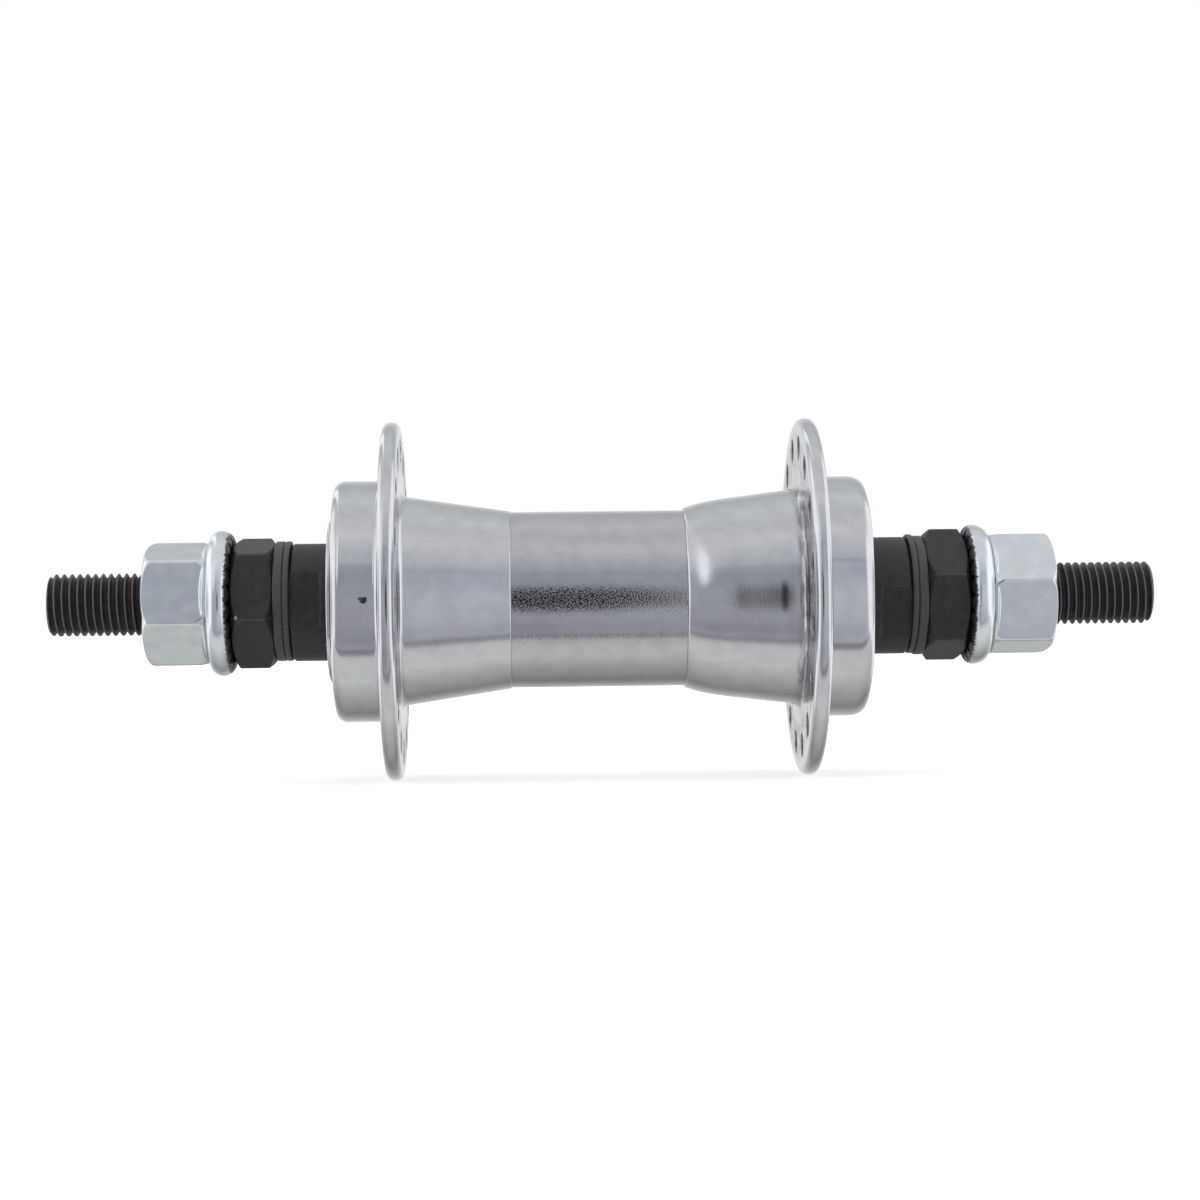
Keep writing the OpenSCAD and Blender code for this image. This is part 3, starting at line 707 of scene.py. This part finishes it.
def holed_ring(sign, first_hole):
    """The drilled band of a flange. Each hole is a grid whose rows go from the outline of its share
    of the band, in a straight blend to the hole's bevel, through the hole and back to the same
    outline on the other face."""
    sector = math.tau / HOLES
    steps_round = SHELL_COLUMNS // HOLES
    steps_down = HOLE_COLUMNS // 2 - steps_round
    across = np.linspace(-0.5, 0.5, steps_round + 1)[:-1]
    down = np.linspace(1, 0, steps_down + 1)[:-1]
    share_turn = np.concatenate([
        across, np.full(steps_down, 0.5), -across, np.full(steps_down, -0.5)])
    share_out = np.concatenate([np.ones(steps_round), down, np.zeros(steps_round), 1 - down])
    round_hole = (np.arange(HOLE_COLUMNS) - steps_round / 2) * math.tau / HOLE_COLUMNS
    half = (FLANGE_OUTER - FLANGE_INNER) / 2
    blends = np.array([0, 0.3, 0.6, 0.85, 1, 1, 1, 1])
    wide = HOLE_R + HOLE_BEVEL
    sizes = np.array([wide] * 5 + [wide - HOLE_EDGE, HOLE_R + HOLE_EDGE, HOLE_R])
    depths = np.array([0] * 5 + [HOLE_EDGE, HOLE_BEVEL - HOLE_EDGE, HOLE_BEVEL])
    mix = np.concatenate([blends, blends[::-1]])[:, None]
    size = np.concatenate([sizes, sizes[::-1]])[:, None]
    along = FLANGE_OUTER - half + np.concatenate([half - depths, (depths - half)[::-1]])
    grids = []
    for hole in range(HOLES):
        middle = (hole + first_hole) * sector
        edge_turn = middle + share_turn * sector
        edge_r = HOLE_BAND[0] + share_out * (HOLE_BAND[1] - HOLE_BAND[0])
        out = HOLE_CIRCLE_R + size * np.cos(round_hole)
        aside = size * np.sin(round_hole)
        y = -(out * math.sin(middle) + aside * math.cos(middle)) * mix
        z = (out * math.cos(middle) - aside * math.sin(middle)) * mix
        y = y - (1 - mix) * edge_r * np.sin(edge_turn)
        z = z + (1 - mix) * edge_r * np.cos(edge_turn)
        grids.append(np.stack([np.broadcast_to(sign * along[:, None], y.shape), y, z], axis=-1))
    return grids


for side, sign in (("left", -1), ("right", 1)):
    low, high = box_in_mm(side + "_shell_end")
    spigot_end, mouth = sorted(abs(np.array([low[0], high[0]])))
    rim_r = high[2]
    seam = spigot_end + SPIGOT_LENGTH - SEAM_SHIFT[side]
    seam_r, root_r, shoulder = NECKS[side]
    mouth_length, mouth_in = MOUTHS[side]
    band_in, band_out = HOLE_BAND
    share = np.linspace(0, 1, NECK_ROWS)
    neck_end = FLANGE_INNER - FILLET
    neck_x = seam + (neck_end - seam) * share
    neck_r = seam_r + (root_r - seam_r - shoulder) * share
    neck_r += shoulder * np.tanh((neck_x - seam) / SHOULDER_LENGTH)
    for middle, width, height in RIPPLES[side]:
        at_end = np.tanh((neck_end - middle) / width)
        neck_r -= height * (np.tanh((neck_x - middle) / width) - at_end)
    rim = eased(
        [(FLANGE_INNER, band_out, 0)]
        + arc((FLANGE_INNER + RIM_ROUND, rim_r - RIM_ROUND), (RIM_ROUND, RIM_ROUND), 180, 90)
        + arc((FLANGE_OUTER - RIM_ROUND, rim_r - RIM_ROUND), (RIM_ROUND, RIM_ROUND), 90, 0)
        + [(FLANGE_OUTER, band_out, 0)])
    body = eased(
        [(FLANGE_OUTER, band_in, 0)]
        + arc((FLANGE_OUTER + FILLET, HOUSING_R + FILLET), (FILLET, FILLET), 180, 270)
        + arc((mouth - mouth_length, HOUSING_R - mouth_in), (mouth_length, mouth_in), 90, 0)
        + [(mouth, CUP_R, EASE), (CUP_SHOULDER, CUP_R, EASE), (CUP_SHOULDER, CUP_BOSS_R, EASE),
           (CUP_BACK, CUP_BOSS_R, EASE), (CUP_BACK, CUP_BOSS_HOLE_R, EASE),
           (seam, SPIGOT_BORE_R, 0), (spigot_end, SPIGOT_BORE_R, EASE), (spigot_end, SPIGOT_R, EASE),
           (seam, SPIGOT_R, 0), (seam, seam_r - SEAM_EASE, 0),
           (seam + 0.4 * SEAM_EASE, seam_r - 0.3 * SEAM_EASE, 0)]
        + [(x, r, 0) for x, r in zip(neck_x, neck_r) if x > seam + SEAM_EASE]
        + arc((neck_end, root_r + FILLET), (FILLET, FILLET), 280, 360)
        + [(FLANGE_INNER, band_in, 0)])
    grids = [wrapped(sign * part[:, :1], part[:, 1:], angle) for part in (rim, body)]
    # The in_hole mark, for the painted shade in the spoke holes: none on the faces, growing with depth
    # into each hole
    in_hole = [np.zeros(part.size // 3) for part in grids]
    holed = holed_ring(sign, FIRST_HOLE[side])
    for part in holed:
        from_middle = np.abs(np.abs(part[..., 0]) - (FLANGE_INNER + FLANGE_OUTER) / 2)
        depth = (FLANGE_OUTER - FLANGE_INNER) / 2 - from_middle
        in_hole.append(np.clip(depth / HOLE_BEVEL + HOLE_SHADE_AT_MOUTH, 0, 1) * (depth > BELOW_FACE))
    in_hole = np.concatenate([mark.ravel() for mark in in_hole])
    made = skin(side + "_end_of_shell", grids + holed, end_plate, looped=False, in_hole=in_hole)
    stands_for(made, side + "_shell_end")

# A dust cap closes each housing: thin sheet, pressed to a skirt, a flat ring and a raised
# middle with the cone's hole, then plated and pushed into the housing's mouth.
CAP_SHEET = 0.8
CAP_DOME_R = 10.3
CAP_DOME_H = 0.8
CAP_HOLE_R = 7.75
CAP_BEND = 0.3

cap_plate = plated_steel(
    "plated_dust_cap", brightness=1.0, rough=0.1, smooth=0.08, grain_depth=0.2)
for side, sign in (("left", -1), ("right", 1)):
    low, high = box_in_mm(side + "_dust_cap")
    skirt_end, dome_top = sorted(abs(np.array([low[0], high[0]])))
    rim_r = high[2]
    ring = dome_top - CAP_DOME_H
    profile = eased([
        (dome_top, CAP_HOLE_R, CAP_BEND), (dome_top, CAP_DOME_R, CAP_BEND),
        (ring, CAP_DOME_R, CAP_BEND / 2), (ring, rim_r, CAP_BEND),
        (skirt_end, rim_r, EASE), (skirt_end, rim_r - CAP_SHEET, EASE),
        (ring - CAP_SHEET, rim_r - CAP_SHEET, EASE), (ring - CAP_SHEET, CAP_DOME_R - CAP_SHEET, EASE),
        (dome_top - CAP_SHEET, CAP_DOME_R - CAP_SHEET, EASE), (dome_top - CAP_SHEET, CAP_HOLE_R, EASE)])
    made = skin(side + "_cap", [wrapped(sign * profile[:, :1], profile[:, 1:], angle)], cap_plate)
    stands_for(made, side + "_dust_cap")

# Between cone and locknut lie a thin washer and a spacer, stamped and blacked, their edges
# rubbed to a duller grey. The right thin washer rides up in the room of its hole.
WASHER_EDGE = 0.28
WASHER_CLEAR = 0.23
WASHER_RUBBED = 0.4
WASHER_GREY = (0.058, 0.056, 0.059)

washer_steel = blacked_steel("blacked_washer", worn_colour=WASHER_GREY)
for side, sign in (("left", -1), ("right", 1)):
    for kind in ("thin_washer", "spacer_washer"):
        low, high = box_in_mm(f"{side}_{kind}")
        inner, outer = sorted(abs(np.array([low[0], high[0]])))
        rim_r = high[1]
        lift = high[2] - rim_r
        hole_r = axle_r + WASHER_CLEAR
        profile = eased([(inner, hole_r, EASE), (inner, rim_r, WASHER_EDGE),
                         (outer, rim_r, WASHER_EDGE), (outer, hole_r, EASE)])
        ring = wrapped(sign * profile[:, :1], profile[:, 1:], angle) + (0, 0, lift)
        at_rim = np.clip((profile[:, 1:] - rim_r) / WASHER_RUBBED + 1, 0, 1)
        rubbed = np.repeat(at_rim, len(angle), axis=1)
        made = skin(f"{side}_{kind}_ring", [ring], washer_steel, rubbed=rubbed)
        stands_for(made, f"{side}_{kind}")

# A locknut jams each cone in place: hexagon bar, drilled and tapped, its corners bevelled
# at both ends on a lathe, then blacked. The fork end closes on its outer face.
LOCKNUT_AF = 14.8
LOCKNUT_BEVEL = 0.85
LOCKNUT_BEVEL_IN = 1.3
LOCKNUT_CORNER_HEIGHTS = {"left": -14.2, "right": 17.5}
LOCKNUT_COLUMNS = 240
LOCKNUT_ROW_STEP = 0.1
PAST_CORNER = 0.3
BEVEL_RUBBED = 0.006
CORNER_RUBBED_FROM = 0.98
CORNER_RUBBED_RISE = 60
RUBBED_OUTSIDE_R = 6.9
TAPPED_MOUTH = 0.4
CORNER_SHARPNESS = 140


def hexagon(across_flats, corner_height, angle):
    """Radius of a hexagonal bar at an angle from the top: half its width across the flats over a
    high-power sum of the cosines from its three pairs of flats, which rounds the corners."""
    corner = math.pi / 2 - math.radians(corner_height)
    flats = corner + math.pi / 6 + np.arange(3) * math.pi / 3
    cosines = np.abs(np.cos(angle[..., None] - flats)) ** CORNER_SHARPNESS
    return across_flats / 2 / cosines.sum(axis=-1) ** (1 / CORNER_SHARPNESS)


def smaller(one, other):
    """The smaller of two radii, with the edge between them rounded."""
    return (one ** -CORNER_SHARPNESS + other ** -CORNER_SHARPNESS) ** (-1 / CORNER_SHARPNESS)


def larger(one, other):
    """The larger of two radii, with the edge between them rounded."""
    return (one ** CORNER_SHARPNESS + other ** CORNER_SHARPNESS) ** (1 / CORNER_SHARPNESS)


locknut_steel = blacked_steel("blacked_locknut", spots=[
    ((-45.2, -8.2, -1.8), 0.3, (0.3, 0.29, 0.28)), ((-41.0, -6.0, 6.1), 0.5, (0.13, 0.05, 0.025)),
    ((-42.5, -7.4, -3.6), 0.3, RUBBED_STEEL), ((44.6, -7.2, 4.2), 0.35, RUBBED_STEEL)])
angle = round_angles(LOCKNUT_COLUMNS)
for side, sign in (("left", -1), ("right", 1)):
    low, high = box_in_mm(side + "_locknut")
    inner, outer = sorted(abs(np.array([low[0], high[0]])))
    corner_r = LOCKNUT_AF / math.sqrt(3)
    slope = LOCKNUT_BEVEL * (1 + PAST_CORNER / LOCKNUT_BEVEL_IN)
    profile = filled(eased([
        (inner, bore_r + TAPPED_MOUTH, EASE), (inner, corner_r - LOCKNUT_BEVEL_IN, 1.5 * EASE),
        (inner + slope, corner_r + PAST_CORNER, 0), (outer - slope, corner_r + PAST_CORNER, 0),
        (outer, corner_r - LOCKNUT_BEVEL_IN, 1.5 * EASE), (outer, bore_r + TAPPED_MOUTH, EASE),
        (outer - TAPPED_MOUTH, bore_r, EASE), (inner + TAPPED_MOUTH, bore_r, EASE)]), LOCKNUT_ROW_STEP)
    along, radius = profile[:, :1], profile[:, 1:]
    bar = hexagon(LOCKNUT_AF, LOCKNUT_CORNER_HEIGHTS[side], angle)
    cut = smaller(radius, bar)
    at_bevel = np.clip(1 - np.abs(radius / bar - 1) / BEVEL_RUBBED, 0, 1)
    at_corner = np.clip((bar / corner_r - CORNER_RUBBED_FROM) * CORNER_RUBBED_RISE, 0, 1)
    rubbed = np.clip(at_bevel + at_corner, 0, 1) * (cut > RUBBED_OUTSIDE_R) * RUBBED_STRENGTH
    bar_cut = wrapped(sign * along, cut, angle)
    made = skin(side + "_locknut_hex", [bar_cut], locknut_steel, rubbed=rubbed)
    stands_for(made, side + "_locknut")

# A toothed washer turns freely on each nut's collar and bites the fork end: pressed steel
# with a rounded rim and V-shaped gullets across its inner face, zinc plated.
RIM_ROUND_IN = 1.35
RIM_APEX = {"left": 1.5, "right": 1.1}
TEETH = 24
TOOTHED_COLUMNS = 480
TOOTHED_ROW_STEP = 0.18
TOOTH_DEPTH = 0.35
GULLET_WIDTH = 1.1
COLLAR_HOLE_R = 5.6
LIP_POCKET_R = 6.2
LIP_POCKET_DEPTH = 1.0
# Painted shade on the toothed side of each toothed washer: where it ends in millimetres from the
# middle, how ragged its edge is, and its colour
TOOTH_SHADE_EDGE = (46.05, 46.3)
TOOTH_SHADE_RAGGED = 0.8
TOOTH_SIDE_SHADE = (0.016, 0.015, 0.015)
ZINC = (0.585, 0.625, 0.655)
ZINC_PALE = (0.65, 0.68, 0.69)
ZINC_DULL = (0.5, 0.52, 0.545)
ZINC_GREEN = (0.56, 0.62, 0.59)


def zinc_plate(name, roughness):
    """Zinc plate with a bluish pale bloom, a few dull clouds and a fine grain. Returned with its
    shader, colour, roughness and places, for what else lies on it."""
    material, shader, place = finish_of(name, metallic=1.0, roughness=roughness)
    bloom = clouds(place, 0.45, detail=4.0)
    mottle = clouds(place, 1.8, detail=5.0)
    colour = bloom.ramp(0.35, 0.7).blend(ZINC, ZINC_PALE)
    colour = (mottle.ramp(0.55, 0.8) * 0.5).blend(colour, ZINC_DULL)
    colour = (clouds(place, 0.25, detail=2.0).ramp(0.5, 0.7) * 0.6).blend(colour, ZINC_GREEN)
    colour.feed(shader, "Base Color")
    rough = roughness + 0.12 * bloom
    rough.feed(shader, "Roughness")
    lines = clouds(place, 6.0, detail=3.0, stretch=(0.12, 1, 1))
    dented(shader, mottle * 0.5 + lines * 0.5, depth=0.008)
    return material, shader, colour, rough, place


washer_zinc, shader, colour, rough, place = zinc_plate("zinc_toothed_washer", roughness=0.14)
# Painted shade and painted dark reflection: the toothed side, facing the locknut, is made near black
# and not metallic
from_middle = abs(place.parts()[0])
toothed_side_shade = 1 - (from_middle - clouds(place, 2.5, detail=3.0) * TOOTH_SHADE_RAGGED).ramp(*TOOTH_SHADE_EDGE)
toothed_side_shade.blend(colour, TOOTH_SIDE_SHADE).feed(shader, "Base Color")
(rough + toothed_side_shade * 0.2).feed(shader, "Roughness")
(1 - toothed_side_shade).feed(shader, "Metallic")
angle = round_angles(TOOTHED_COLUMNS)
for side, sign in (("left", -1), ("right", 1)):
    low, high = box_in_mm(side + "_serrated_washer")
    toothed, back = sorted(abs(np.array([low[0], high[0]])))
    rim_r = high[2]
    apex, flat_r = toothed + RIM_APEX[side], rim_r - RIM_ROUND_IN
    profile = filled(eased(
        [(toothed, LIP_POCKET_R, EASE)]
        + arc((apex, flat_r), (-RIM_APEX[side], RIM_ROUND_IN), 0, 90, 14)
        + arc((apex, flat_r), (back - apex, RIM_ROUND_IN), 90, 0, 14)
        + [(back, COLLAR_HOLE_R, EASE), (toothed + LIP_POCKET_DEPTH, COLLAR_HOLE_R, EASE),
           (toothed + LIP_POCKET_DEPTH, LIP_POCKET_R, EASE)]), TOOTHED_ROW_STEP)
    along, radius = profile[:, :1], profile[:, 1:]
    pitch = math.tau / TEETH
    aside = np.abs((angle / pitch + 0.5) % 1 - 0.5) * pitch * radius
    gullet = toothed + TOOTH_DEPTH * np.clip(1 - aside / (GULLET_WIDTH / 2), 0, 1)
    bitten = np.where(along < apex, np.maximum(along, gullet), along)
    made = skin(side + "_toothed_washer", [wrapped(sign * bitten, radius, angle)], washer_zinc)
    stands_for(made, side + "_serrated_washer")

# The axle nuts clamp the fork ends: forged hexagons on a round base, with a collar and a
# lip that keep the toothed washer on, tapped, bevelled outside and zinc plated.
NUT_AF = 13.8
NUT_H = 8
NUT_ROUND = 1.3
NUT_ROUND_IN = 1.6
NUT_TAPER = 1.2
NUT_BASE_T = 0.3
NUT_RUNOUT = 0.4
NUT_RUNOUT_UNDER = 0.05
NUT_HEX_FROM_R = 6.0
NEARLY = 0.001
NUT_BASE_BEVEL = 0.15
NUT_BASE_IN = 0.35
NUT_CORNER_HEIGHTS = {"left": -17.6, "right": 13}
COLLAR_R = 5.5
LIP_R = 6.1
LIP_T = 0.6
COUNTERSINK = 0.55
NUT_COLUMNS = 300
NUT_ROW_STEP = 0.13
NUT_SPOTS = (
    ((54.4, -4.5, -6.4), 0.35, (0.12, 0.12, 0.12)), ((53.2, -4.6, -6.3), 0.25, (0.2, 0.2, 0.2)),
    ((-50.9, -4.2, -6.4), 0.5, (0.42, 0.46, 0.42)))

nut_zinc, shader, colour, _, place = zinc_plate("zinc_axle_nut", roughness=0.16)
spotted(colour, place, NUT_SPOTS).feed(shader, "Base Color")
angle = round_angles(NUT_COLUMNS)
for side, sign in (("left", -1), ("right", 1)):
    low, high = box_in_mm(side + "_axle_nut")
    lip_end, top = sorted(abs(np.array([low[0], high[0]])))
    base = top - NUT_H
    corner_r = NUT_AF / math.sqrt(3)
    base_r = corner_r - NUT_BASE_IN
    profile = filled(eased(
        [(lip_end, bore_r, EASE), (lip_end, LIP_R, EASE), (lip_end + LIP_T, LIP_R, EASE),
         (lip_end + LIP_T, COLLAR_R, EASE), (base, COLLAR_R, EASE),
         (base, base_r - NUT_BASE_BEVEL, EASE / 2), (base + NUT_BASE_BEVEL, base_r, EASE / 2),
         (base + NUT_TAPER, corner_r, EASE)]
        + arc((top - NUT_ROUND, corner_r - NUT_ROUND_IN), (NUT_ROUND, NUT_ROUND_IN), 90, 0)
        + [(top, bore_r + COUNTERSINK, 1.5 * EASE), (top - COUNTERSINK, bore_r, EASE)]), NUT_ROW_STEP)
    along, radius = profile[:, :1], profile[:, 1:]
    bar = hexagon(NUT_AF, NUT_CORNER_HEIGHTS[side], angle)
    past = along - base
    run = np.clip((past - NUT_BASE_T) / NUT_RUNOUT, 0, 1)
    # The round base runs out to just under the flats of the hexagon
    round_base = base_r - run * (base_r - NUT_AF / 2 + NUT_RUNOUT_UNDER)
    bar = np.where(run < 1, larger(bar, round_base), bar)
    cut = np.where((past > -NEARLY) & (radius > NUT_HEX_FROM_R), smaller(radius, bar), radius)
    made = skin(side + "_nut_hex", [wrapped(sign * along, cut, angle)], nut_zinc)
    stands_for(made, side + "_axle_nut")
